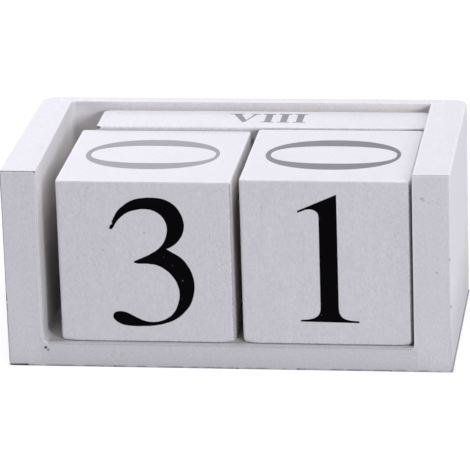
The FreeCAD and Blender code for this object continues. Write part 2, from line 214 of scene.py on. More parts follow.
def build_paint_film():
    """Matt paint brushed thinly over wood whose fibres run along the vector's Z.
    Tone and Height run from about -1 to 1, and Pit is 1 in the pinholes that the brush left."""
    tree, given, result = new_group(
        "paint_film", "ShaderNodeTree",
        [(VECTOR, "Vector", None), (FLOAT, "Fibre", 0.24), (FLOAT, "Stipple", 0.85),
         (FLOAT, "Mottle", 0.15), (FLOAT, "Pinholes", 0.12)],
        [(FLOAT, "Tone"), (FLOAT, "Height"), (FLOAT, "Pit")])
    vector = given.outputs["Vector"]
    fibre, stipple, mottle, pinholes = (Figure(tree, given.outputs[name])
                                        for name in ("Fibre", "Stipple", "Mottle", "Pinholes"))
    streaks = speckle(tree, drawn_out(tree, vector, (1, 1, FIBRE_DRAW)), FIBRE_SCALE, 3.0) * fibre
    peel = speckle(tree, drawn_out(tree, vector, (1, 1, STIPPLE_DRAW)), STIPPLE_SCALE) * stipple
    patches = speckle(tree, vector, MOTTLE_SCALE) * mottle
    rough = ramp(tree, speckle(tree, vector, POCK_PATCH_SCALE, 1.0).socket, *POCK_PATCH)
    dimples = add(tree, "ShaderNodeTexVoronoi", vector=vector, scale=POCK_SCALE)
    pocks = ramp(tree, dimples.outputs["Distance"], *POCK_EDGE) * rough
    cells = add(tree, "ShaderNodeTexVoronoi", vector=vector, scale=PINHOLE_SCALE)
    lot = add(tree, "ShaderNodeSeparateColor", color=cells.outputs["Color"])
    hole = ramp(tree, cells.outputs["Distance"], *PIT_EDGE)
    pit = hole * (pinholes - Figure(tree, lot.outputs[0])).over(0.0)
    plug(tree, streaks + peel + patches - pocks * POCK_SHADE, result.inputs["Tone"])
    plug(tree, streaks * STREAK_DEPTH + peel + patches * PATCH_DEPTH - pocks * POCK_DEPTH - pit * PIT_DEPTH,
         result.inputs["Height"])
    plug(tree, pit, result.inputs["Pit"])
    return tree


def build_arris():
    """How far a point on a box lies from the box's nearest edge, in metres."""
    tree, given, result = new_group(
        "arris", "ShaderNodeTree",
        POINT_IN_BOX, [(FLOAT, "Distance")])
    place, low, high = (three_ways(tree, given.outputs[name]) for name in ("Vector", "Low", "High"))
    x, y, z = ((p - a).size().at_most((b - p).size()) for p, a, b in zip(place, low, high))
    plug(tree, x.at_most(y).at_least(x.at_least(y).at_most(z)), result.inputs["Distance"])
    return tree


def build_mark():
    """A ragged mark along the line from Start to End: 1 in its middle, 0 past its radius."""
    tree, given, result = new_group(
        "mark", "ShaderNodeTree",
        [(VECTOR, "Vector", None), (VECTOR, "Start", None), (VECTOR, "End", None),
         (FLOAT, "Radius", MM)],
        [(FLOAT, "Mask")])
    place, start, end = (three_ways(tree, given.outputs[name]) for name in ("Vector", "Start", "End"))
    apart = [(a - p).at_least(p - b).at_least(0.0) for p, a, b in zip(place, start, end)]
    reach = sum(gap * gap for gap in apart).reckon("SQRT") / Figure(tree, given.outputs["Radius"])
    ragged = reach + speckle(tree, given.outputs["Vector"], RAGGED_SCALE, 1.0) * 0.25
    plug(tree, ramp(tree, ragged, *MARK_EDGE), result.inputs["Mask"])
    return tree


def build_paint_wear_and_light():
    """Where use has worn the paint of a board that fills the box from Low to High, and where light and
    shade are painted on it. The first output is worn to the wood near the edges and also a painted shadow
    along the tray's foot, the second a painted highlight along every edge, and the third painted shade,
    darker towards the desk and up the tray's two ends."""
    tree, given, result = new_group(
        "paint_wear", "ShaderNodeTree",
        [*POINT_IN_BOX, (FLOAT, "Rub", 1.0)],
        [(FLOAT, "Bare"), (FLOAT, "Edge Highlight"), (FLOAT, "Handled")])
    place = given.outputs["Vector"]
    rub = Figure(tree, given.outputs["Rub"])
    edge = add(tree, "ShaderNodeGroup", {"node_tree": ARRIS}, vector=place, low=given.outputs["Low"],
               high=given.outputs["High"])
    rim = add(tree, "ShaderNodeGroup", {"node_tree": ARRIS}, vector=place, low=cad_box[0], high=cad_box[1])
    near_edge = ramp(tree, edge.outputs["Distance"], *(rub * size for size in mm(ARRIS_RUB)))
    rubbed = near_edge * ramp(tree, speckle(tree, place, RUB_SCALE, 3.0).socket, *RUB_PATCH)
    x, _, z = three_ways(tree, place)
    # a painted shadow along the tray's foot, in patches, carried in the first output with the wear
    round_foot = ramp(tree, rim.outputs["Distance"], *mm(FOOT_RIM))
    underfoot = ramp(tree, z.socket, *mm(FOOT_SHADOW_RISE)) * round_foot
    foot_shadow = underfoot * ramp(tree, speckle(tree, place, FOOT_SHADOW_SCALE, 3.0).socket, *FOOT_SHADOW_PATCH)
    # painted shade, darker up the tray's two ends and towards the desk
    shaded_ends = ramp(tree, x.size().socket, *(cad_box[1][0] - size for size in mm(END_SHADE_REACH)))
    shaded_ends = shaded_ends * ramp(tree, z.socket, *mm(END_SHADE_RISE))
    low_shade = (ramp(tree, z.socket, *mm(LOW_SHADE_RISE)) * LOW_SHADE_SHARE).at_least(shaded_ends * END_SHADE_SHARE)
    plug(tree, rubbed.at_least(foot_shadow * FOOT_SHADOW_SHARE), result.inputs["Bare"])
    # the second output: a painted highlight, whiter along every edge
    plug(tree, ramp(tree, edge.outputs["Distance"], *mm(EDGE_HIGHLIGHT_REACH)), result.inputs["Edge Highlight"])
    plug(tree, low_shade, result.inputs["Handled"])
    return tree


PAINT_FILM = build_paint_film()
ARRIS = build_arris()
MARK = build_mark()
PAINT_WEAR_AND_LIGHT = build_paint_wear_and_light()


def blend_colour(tree, share, first, second):
    """Two colours mixed, with share of the second."""
    node = add(tree, "ShaderNodeMix", {"data_type": "RGBA"})
    for index, value in ((0, share), (6, first), (7, second)):
        plug(tree, (*value, 1) if isinstance(value, tuple) else value, node.inputs[index])
    return node.outputs[2]


def marked(tree, place, colour, marks):
    """The colour with marks on it, each (radius, colour, centre) or (radius, colour, start, end) in mm."""
    for radius, mark_colour, start, *end in marks:
        spot = add(tree, "ShaderNodeGroup", {"node_tree": MARK}, vector=place, radius=radius * MM,
                   start=Vector(start) * MM, end=Vector(end[0] if end else start) * MM)
        colour = blend_colour(tree, spot.outputs["Mask"], colour, mark_colour)
    return colour


def relief(tree, strength, depth, height):
    """The normals of a relief so many mm deep."""
    return add(tree, "ShaderNodeBump", strength=strength, distance=depth * MM, height=height).outputs[0]


def new_material(name):
    """A material, its node tree, its shader, and the output that gives each point's place."""
    material = bpy.data.materials.new(name)
    material.use_nodes = True
    tree = material.node_tree
    return material, tree, tree.nodes["Principled BSDF"], add(tree, "ShaderNodeTexCoord").outputs["Object"]


def painted_wood(name, box, grain, marks=(), rub=1.0, shift=(0, 0, 0), whiteness=1.0):
    """Matt white paint on a board that fills the box, with its grain along X, Y or Z. A painted highlight
    whitens it along the edges, rub is how far from them it has worn, painted shade darkens it towards
    the desk, and a painted shadow lines the tray's foot."""
    material, tree, shader, place = new_material(name)
    turned = add(tree, "ShaderNodeMapping", vector=place, rotation=GRAIN_TURN[grain], location=shift)
    film = add(tree, "ShaderNodeGroup", {"node_tree": PAINT_FILM}, vector=turned.outputs[0])
    wear = add(tree, "ShaderNodeGroup", {"node_tree": PAINT_WEAR_AND_LIGHT}, vector=place, low=box[0], high=box[1],
               rub=rub)
    tone, height, pit = (Figure(tree, film.outputs[key]) for key in ("Tone", "Height", "Pit"))
    bare_and_shadow, edge_highlight, low_shade = (Figure(tree, wear.outputs[key]) for key in ("Bare", "Edge Highlight", "Handled"))

    # the paint's white, with a painted highlight along its edges
    coat = add(tree, "ShaderNodeVectorMath", {"operation": "SCALE"},
               scale=tone * TONE_SHADE + edge_highlight * EDGE_HIGHLIGHT_SHARE - pit * PIT_SHADE + whiteness)
    plug(tree, WHITE_PAINT, coat.inputs[0])
    # painted shade towards the desk and up the ends
    coat_with_shade = blend_colour(tree, low_shade, coat.outputs[0], LOW_SHADE_GREY)
    # bare wood where the paint is worn, and a painted shadow along the tray's foot
    colour = blend_colour(tree, bare_and_shadow * BARE_AND_SHADOW_SHARE, coat_with_shade, WORN_WOOD_AND_SHADOW)
    fill(tree, shader, base_color=marked(tree, place, colour, marks), specular_ior_level=PAINT_GLOSS,
         roughness=tone * TONE_ROUGHNESS + bare_and_shadow * BARE_ROUGHNESS + PAINT_ROUGHNESS,
         normal=relief(tree, PAINT_STRENGTH, PAINT_RELIEF, height - bare_and_shadow * BARE_DEPTH))
    return material


def dress(node, material):
    """Gives a carried-over CAD node its finish."""
    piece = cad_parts[node]
    piece.data.materials.clear()
    piece.data.materials.append(material)


def set_in(box, *marks):
    """Marks placed in mm from a box's lowest corner, each (radius, colour, start) or with an end."""
    corner = Vector(box[0]) / MM
    return [(radius, colour, *(corner + Vector(point) for point in points))
            for radius, colour, *points in marks]


def on_front(box, depth, *marks):
    """Marks so many mm behind a box's front, each (radius, colour, x, z), or a line on to another x, z."""
    return set_in(box, *((radius, colour, *((x, depth, z) for x, z in zip(places[::2], places[1::2])))
                         for radius, colour, *places in marks))


TEAL_DROPS = on_front(cad_box, 0.0, (0.55, TEAL_SPLASH, 11.16, 5.8), (0.5, PALE_TEAL, 11.85, 5.1))
LEFT_BOX, RIGHT_BOX, BASE_BOX = map(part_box, ("left_side", "right_side", "base_board"))
# each board: the way its grain runs, the share of the paint's white it is given, and the marks on it
TRAY_BOARDS = {
    "left_side": ("Z", 1.0, [
        # the grey line down the left board's outer front edge is painted shade
        *on_front(LEFT_BOX, 0.1, (0.22, WORN_WOOD_AND_SHADOW, 0.25, 60.15, 10.15, 60.15),
                  (0.5, WORN_WOOD_AND_SHADOW, 10.35, 60.1), (0.35, EDGE_WEAR_AND_SHADE_GREY, 0.05, 2.0, 0.05, 60.0)),
        *on_front(LEFT_BOX, 0.05, (0.25, WORN_WOOD_AND_SHADOW, 0.05, 51.5, 0.05, 59.0),
                  (0.35, WORN_WOOD_AND_SHADOW, 0.1, 20.6, 0.1, 21.8), (0.3, WORN_WOOD_AND_SHADOW, 0.1, 17.4, 0.1, 19.2),
                  (0.25, WORN_WOOD_AND_SHADOW, 0.05, 11.8, 0.05, 15.0)),
        # painted shadow along the foot of the left board's front
        *on_front(LEFT_BOX, 0.2, (0.7, FOOT_SHADOW_BLACK, 0.85, 0.1, 5.45, 0.1)),
        *on_front(LEFT_BOX, 0.0, (0.35, FAINT_SMUDGE, 6.7, 52.4), (0.35, FAINT_SMUDGE, 7.85, 50.3),
                  (0.3, FAINT_SMUDGE, 8.7, 47.9), (0.4, FAINT_SMUDGE, 7.05, 45.6),
                  (0.3, FAINT_SMUDGE, 8.15, 42.6), (0.3, FAINT_SMUDGE, 6.15, 49.0))]),
    "right_side": ("Z", 1.0, [
        *on_front(RIGHT_BOX, 0.0, (0.6, BLUE_SMUDGE, 2.75, 53.1, 2.95, 53.1), (0.4, BLUE_SMUDGE, 3.35, 52.5),
                  (0.45, FAINT_SMUDGE, 4.75, 52.0), (0.4, FAINT_SMUDGE, 5.85, 52.4),
                  (0.4, FAINT_SMUDGE, 7.15, 51.9), (0.5, GREY_SMUDGE, 6.95, 30.7)),
        *on_front(RIGHT_BOX, 0.1, (0.6, GREY_SMUDGE, 10.75, 34.7)),
        # painted shadow: a dark line along the foot of the right board's outer face
        *set_in(RIGHT_BOX, (0.75, WORN_WOOD_AND_SHADOW, (10.95, 0.8, 0.55), (10.95, 75.2, 0.55))),
        *on_front(RIGHT_BOX, 0.1, (0.22, EDGE_WEAR_AND_SHADE_GREY, 0.35, 60.15, 10.65, 60.15))]),
    "base_board": ("X", 0.93, [
        # painted shade along the base's top front lip
        *TEAL_DROPS, *set_in(BASE_BOX, (0.8, LIP_SHADE_GREY, (2.35, 0.3, 7.4), (109.65, 2.2, 7.4))),
        *on_front(BASE_BOX, 0.0, (0.35, WORN_WOOD_AND_SHADOW, 21.95, 0.2, 22.35, 0.2),
                  (0.3, WORN_WOOD_AND_SHADOW, 57.95, 0.15, 58.75, 0.15), (0.4, WORN_WOOD_AND_SHADOW, 76.15, 0.2, 76.45, 0.2),
                  (0.35, WORN_WOOD_AND_SHADOW, 103.05, 0.2, 103.55, 0.2))]),
    "back_board": ("X", 1.0, []),
}
for board, (grain, whiteness, marks) in TRAY_BOARDS.items():
    dress(board, painted_wood("paint_" + board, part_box(board), grain, marks, whiteness=whiteness))

# ----------------------------------
# Filler: a fingertip of putty drawn along each inside corner between the base and a side and up
# the rear left corner, and wiped flush over the joints at the front, so that no seam shows there.

BEAD_STEPS = 14            # facets across the hollow of a bead
PROUD = 0.015              # mm that the wiped filler stands off the boards
WIPED = 1.0                # mm that it reaches to each side of the joint
ROOT = 1.0                 # mm that filler reaches into the boards, out of sight
FILLER_WHITENESS = 0.95
WIPED_FOOT = 0.5           # mm above the desk where it ends
ARRIS_EASE = 0.35          # mm, the rounding where the bead ends at the front
REAR_BEAD = 1.6            # mm, the radius of the upright bead
BACK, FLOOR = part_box("back_board")[0][1] / MM, BASE_BOX[1][2] / MM    # the tray's inner faces, in mm
BEAD_TURNS = [math.pi / 2 * step / BEAD_STEPS for step in range(BEAD_STEPS + 1)]
FILLED_CORNERS = {
    # side: the way into the tray, the bead's radius in mm, how many mm the side thins to the back
    "left_side": (1, 1.4, 1.0),
    "right_side": (-1, 0.5, 0.0),
}


def bead_outline(wall, inward, hollow, spread):
    """One slice across a bead: a hollow arc from the side down to the base, and its hidden back."""
    centre = Vector((wall + inward * hollow, FLOOR + hollow))
    arc = [centre - Vector((inward * math.cos(turn), math.sin(turn))) * spread for turn in BEAD_TURNS]
    hidden_x, hidden_z = wall - inward * ROOT, FLOOR - ROOT
    return arc + [Vector((arc[-1].x, hidden_z)), Vector((hidden_x, hidden_z)), Vector((hidden_x, arc[0].y))]


def skin(shell, slices):
    """Joins the slices, each a ring of points in mm, into one closed solid."""
    rings = [[shell.verts.new([value * MM for value in point]) for point in ring] for ring in slices]
    for ring, following in zip(rings, rings[1:]):
        for index in range(len(ring)):
            shell.faces.new((ring[index - 1], ring[index], following[index], following[index - 1]))
    shell.faces.new(rings[0])
    shell.faces.new(rings[-1])


def new_piece(name, data):
    """An object in the scene, made of a mesh, a curve, a lamp or a camera."""
    piece = bpy.data.objects.new(name, data)
    bpy.context.scene.collection.objects.link(piece)
    return piece


def set_filler(name, shell, marks):
    """Puts the finished putty into the tray under its own coat of paint."""
    bmesh.ops.recalc_face_normals(shell, faces=shell.faces)
    mesh = bpy.data.meshes.new(name)
    shell.to_mesh(mesh)
    shell.free()
    tray_box = (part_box("left_side")[0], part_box("right_side")[1])
    mesh.materials.append(painted_wood("paint_" + name, tray_box, "Z", marks, whiteness=FILLER_WHITENESS))
    piece = new_piece(name, mesh)
    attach(piece, "tray")


def filler(name, side, marks):
    """The bead along one side and, over the joint at the front, the skin of wiped filler."""
    inward, hollow, thinning = FILLED_CORNERS[side]
    side_low, side_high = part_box(side)
    wall = (side_high if inward > 0 else side_low)[0] / MM
    front = side_low[1] / MM - PROUD
    stations = [(front + ARRIS_EASE * (1 - math.cos(turn)), hollow + ARRIS_EASE * (1 - math.sin(turn)))
                for turn in BEAD_TURNS]
    stations.append((BACK, hollow))
    slices = []
    for y, spread in stations:
        here = wall - inward * thinning * (y - front) / (BACK - front)
        slices.append([(point.x, y, point.y) for point in bead_outline(here, inward, hollow, spread)])
    shell = bmesh.new()
    skin(shell, slices)
    size = Vector((2 * WIPED, ROOT, FLOOR - ROOT - WIPED_FOOT)) * MM
    middle = Vector((wall, front + ROOT / 2, (FLOOR - ROOT + WIPED_FOOT) / 2)) * MM
    bmesh.ops.create_cube(shell, size=1.0, matrix=Matrix.Translation(middle) @ Matrix.Diagonal((*size, 1)))
    set_filler(name, shell, marks)


def upright_filler(name, side, radius):
    """The bead that rounds the inside corner between a side and the back board, up to the rim."""
    inward, _, thinning = FILLED_CORNERS[side]
    side_low, side_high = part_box(side)
    wall = (side_high if inward > 0 else side_low)[0] / MM - inward * thinning
    arc = [(wall + inward * radius * (1 - math.cos(turn)), BACK - radius * (1 - math.sin(turn)))
           for turn in BEAD_TURNS]
    hidden_x, hidden_y = wall - inward * ROOT, BACK + ROOT
    outline = arc + [(arc[-1][0], hidden_y), (hidden_x, hidden_y), (hidden_x, arc[0][1])]
    shell = bmesh.new()
    skin(shell, [[(x, y, z) for x, y in outline] for z in (FLOOR, side_high[2] / MM - ARRIS_EASE)])
    set_filler(name, shell, ())


filler("left_filler", "left_side", TEAL_DROPS)
filler("right_filler", "right_side", ())
upright_filler("rear_filler", "left_side", REAR_BEAD)

# ----------------------------------
# Dowels: fluted beech pegs glued into the joints between the sides and the base, out of sight.
# They stay bare, with straight grain along the peg and the short dark flecks of beech.

BEECH = (0.55, 0.37, 0.21)
BEECH_FLECK = (0.36, 0.21, 0.11)
BEECH_STREAK_SCALE, BEECH_FLECK_SCALE = 2400.0, 5200.0    # per metre
BEECH_DRAW = 0.12          # share of their x, which draws both out along the peg
BEECH_ROUGHNESS, BEECH_RELIEF = 0.62, 0.03          # the relief in mm


def bare_beech():
    """Planed beech with no finish, its grain along X."""
    material, tree, shader, place = new_material("bare_beech")
    along = drawn_out(tree, place, (BEECH_DRAW, 1, 1))
    streaks = speckle(tree, along, BEECH_STREAK_SCALE, 3.0)
    flecks = ramp(tree, speckle(tree, along, BEECH_FLECK_SCALE, 1.0).socket, 0.5, 0.9)
    colour = blend_colour(tree, streaks * 0.25 + flecks * 0.5 + 0.2, BEECH, BEECH_FLECK)
    fill(tree, shader, base_color=colour, roughness=streaks * 0.06 + BEECH_ROUGHNESS,
         normal=relief(tree, 0.4, BEECH_RELIEF, streaks - flecks))
    return material


BEECH_PEG = bare_beech()
for row in ("left_dowels", "right_dowels"):
    dress(row, BEECH_PEG)

# ----------------------------------
# Date cubes: two blocks sawn from square stock and painted white on all six faces. Hand sanding
# left the edges soft and a little uneven, most of all at the foot. They stand loose in the tray.

# painted shade along the cubes' feet and down their right front edges
CUBE_EDGE_SHADE = (0.46, 0.44, 0.42)
# roundings in mm; the sandpaper takes the most off the foot where it comes to a corner
CUBE_CORNERS = {"Front Corner": 0.75, "Rear Corner": 1.0, "Top Edge": 0.35, "Foot Edge": 0.5,
                "Foot Corner": 1.9}
CORNER_WEAR = 4.5          # mm from such a corner at which that wear ends
UNEVENNESS = 0.3           # share by which a rounding grows and shrinks
WAVE_SCALE = 130.0         # how often it does, as a noise scale per metre
CUBE_ROWS = 64             # rows of vertices along each edge of a cube
CUBE_RUB = 0.7             # the cubes' paint is rubbed less than the tray's
CUBE_SHIFT = Vector((0.31, 0.17, 0.0))    # m between the places in the paint's pattern of two cubes
SPECK = 1e-9               # m, keeps a length that is divided by from being 0


def build_sanded_block():
    """A box with rounded upright corners and softened edges, as sandpaper leaves a block of wood.
    Rows of vertices crowd towards the edges; each rounding grows and shrinks a little along them."""
    floats = ("Front Corner", "Rear Corner", "Top Edge", "Foot Edge", "Foot Corner", "Unevenness",
              "Wave Scale", "Seed")
    tree, given, result = new_group(
        "sanded_block", "GeometryNodeTree",
        [(VECTOR, "Low", None), (VECTOR, "High", None)]
        + [("NodeSocketInt", name, 8) for name in ("Rows X", "Rows Y", "Rows Z")]
        + [(FLOAT, name, 0.0) for name in floats]
        + [("NodeSocketMaterial", "Finish", None)],
        [("NodeSocketGeometry", "Block")])
    front, rear, top, foot, foot_corner, unevenness, wave_scale, seed = (
        Figure(tree, given.outputs[name]) for name in floats)
    grid = add(tree, "GeometryNodeMeshCube", size=(2, 2, 2), vertices_x=given.outputs["Rows X"],
               vertices_y=given.outputs["Rows Y"], vertices_z=given.outputs["Rows Z"])
    low, high = (three_ways(tree, given.outputs[name]) for name in ("Low", "High"))
    unit = three_ways(tree, add(tree, "GeometryNodeInputPosition").outputs[0])
    crowded = [(t * (math.pi / 2)).reckon("SINE") for t in unit]
    middle = [(a + b) * 0.5 for a, b in zip(low, high)]
    half = [(b - a) * 0.5 for a, b in zip(low, high)]
    x, y, z = (s * h for s, h in zip(crowded, half))
    sign_x, sign_y, sign_z = (s.reckon("SIGN") for s in crowded)

    corner = front + (rear - front) * unit[1].over(0.0)
    past_x = x.size() - (half[0] - corner)
    past_y = y.size() - (half[1] - corner)
    out_x, out_y = past_x.at_least(0.0), past_y.at_least(0.0)
    reach = out_x.at_least(out_y)
    length = (out_x * out_x + out_y * out_y).reckon("SQRT").at_least(SPECK)
    pull = reach / length
    inward = corner - reach - past_x.at_least(past_y).at_most(0.0)
    in_flat = 1.0 - reach.over(SPECK)
    side_x = out_x / length + in_flat * past_x.over(past_y)
    side_y = out_y / length + in_flat * (1.0 - past_x.over(past_y))
    plan_x = x.size() - out_x + out_x * pull
    plan_y = y.size() - out_y + out_y * pull

    where = add(tree, "ShaderNodeCombineXYZ", x=x, y=y, z=z).outputs[0]
    wave = speckle(tree, where, wave_scale.socket, 1.0, seed.socket)
    from_corner = (half[0] - x.size()).at_least(half[1] - y.size())
    worn_foot = foot + (foot_corner - foot) * ramp(tree, from_corner, CORNER_WEAR * MM, 0.0)
    edge = (worn_foot + (top - worn_foot) * unit[2].over(0.0)) * (wave * unevenness + 1.0)
    u = (edge - inward).at_least(0.0).at_most(edge)
    v = (edge - (half[2] - z.size())).at_least(0.0).at_most(edge)
    shrink = u.at_least(v) / (u * u + v * v).reckon("SQRT").at_least(SPECK)
    inset = u - u * shrink
    drop = v - v * shrink
    moved = add(tree, "ShaderNodeCombineXYZ",
                x=middle[0] + sign_x * (plan_x - inset * side_x),
                y=middle[1] + sign_y * (plan_y - inset * side_y),
                z=middle[2] + sign_z * (z.size() - drop))
    placed = add(tree, "GeometryNodeSetPosition", geometry=grid.outputs["Mesh"],
                 position=moved.outputs[0])
    smooth = add(tree, "GeometryNodeSetShadeSmooth", geometry=placed.outputs[0])
    real = add(tree, "GeometryNodeRealizeInstances", geometry=smooth.outputs[0])
    finished = add(tree, "GeometryNodeSetMaterial", geometry=real.outputs[0],
                   material=given.outputs["Finish"])
    plug(tree, finished.outputs[0], result.inputs["Block"])
    return tree


SANDED_BLOCK = build_sanded_block()


def sanded_block(name, node, corners, rows, seed, finish):
    """The block that stands for a CAD node, at the node's own size and place."""
    piece = new_piece(name, bpy.data.meshes.new(name))
    maker = piece.modifiers.new("sanded_block", "NODES")
    maker.node_group = SANDED_BLOCK
    low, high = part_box(node)
    values = {"Low": low, "High": high, "Unevenness": UNEVENNESS, "Wave Scale": WAVE_SCALE, "Seed": seed,
              "Rows X": rows[0], "Rows Y": rows[1], "Rows Z": rows[2], "Finish": finish}
    values.update({corner: size * MM for corner, size in corners.items()})
    for socket in SANDED_BLOCK.interface.items_tree:
        if socket.in_out == "INPUT":
            maker[socket.identifier] = values[socket.name]
    bpy.context.view_layer.update()
    seen = piece.evaluated_get(bpy.context.evaluated_depsgraph_get())
    mesh = bpy.data.meshes.new_from_object(seen)
    piece.modifiers.clear()
    piece.data = mesh
    return piece


TENS_BOX, UNITS_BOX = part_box("tens_cube"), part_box("units_cube")
# the grey lines along each cube's foot and down its right front edge are painted shade
CUBE_MARKS = {
    "tens_cube": [
        *on_front(TENS_BOX, 0.0, (0.3, GREY_SMUDGE, 9.4, 47.38), (0.35, GREY_SMUDGE, 13.3, 28.38),
                  (0.35, FAINT_SMUDGE, 12.15, 27.18), (0.35, FAINT_SMUDGE, 14.15, 27.78),
                  (0.3, FAINT_SMUDGE, 14.75, 30.48), (0.3, FAINT_SMUDGE, 15.05, 31.98),
                  (0.35, FAINT_SMUDGE, 7.95, 17.78), (0.5, CUBE_EDGE_SHADE, 1.55, -0.02, 50.05, -0.02)),
        *on_front(TENS_BOX, 0.2, (0.6, CUBE_EDGE_SHADE, 51.3, 1.58, 51.3, 48.58))],
    "units_cube": [
        *on_front(UNITS_BOX, 0.0, (0.3, GREY_SMUDGE, 6.6, 41.88), (0.3, GREY_SMUDGE, 45.25, 30.18),
                  (0.5, CUBE_EDGE_SHADE, 1.25, -0.02, 48.35, -0.02)),
        *on_front(UNITS_BOX, 0.2, (0.6, CUBE_EDGE_SHADE, 49.6, 1.58, 49.6, 49.08))],
}
for number, (cube, marks) in enumerate(CUBE_MARKS.items(), 1):
    finish = painted_wood("paint_" + cube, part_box(cube), "Z", marks, CUBE_RUB, CUBE_SHIFT * number)
    block = sanded_block(cube + "_block", cube, CUBE_CORNERS, (CUBE_ROWS,) * 3, float(number), finish)
    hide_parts(cube)
    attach(block, cube)

# ----------------------------------
# Numerals: printed through a stencil in matt black ink on all six faces of each cube, with heavy
# stems, hairline turns and slightly ragged edges. The ink on top is painted grey, a painted sheen
# where the top faces catch the light.

INK_THICKNESS = 0.03       # mm
RAGGED = 0.05              # mm, how far the ink's edge wanders
RAGGED_STEP = 0.45         # mm along the edge between one wander and the next
RAGGED_SEED = 1
BLACK_INK = (0.0016, 0.0011, 0.0018)
# the grey of the ink on the cubes' top faces is a painted sheen
TOP_INK_SHEEN_GREY = (0.16, 0.155, 0.153)
TENS_TOP_INK_SHEEN_GREY = (0.285, 0.277, 0.271)
CHIPPED_INK = (0.10, 0.10, 0.11)
THIN_INK = (0.03, 0.028, 0.035)
INK_CELL_SCALE, INK_CLOUD_SCALE = 620.0, 420.0    # per metre
INK_HOLE = (0.22, 0.08)    # distance in a cell at which a pinhole sets in and is full
INK_ROUGHNESS, INK_RELIEF = 0.42, 0.02            # the relief in mm
TURN = "turn"              # marks a sharp turn of an outline


def oval(centre, half_width, half_height, fullness, points=72):
    """A squared-off ellipse: fullness 2 is a true ellipse, and more is squarer."""
    loop = []
    for step in range(points):
        angle = 2 * math.pi * step / points
        c, s = math.cos(angle), math.sin(angle)
        loop.append((centre[0] + half_width * math.copysign(abs(c) ** (2 / fullness), c),
                     centre[1] + half_height * math.copysign(abs(s) ** (2 / fullness), s)))
    return loop


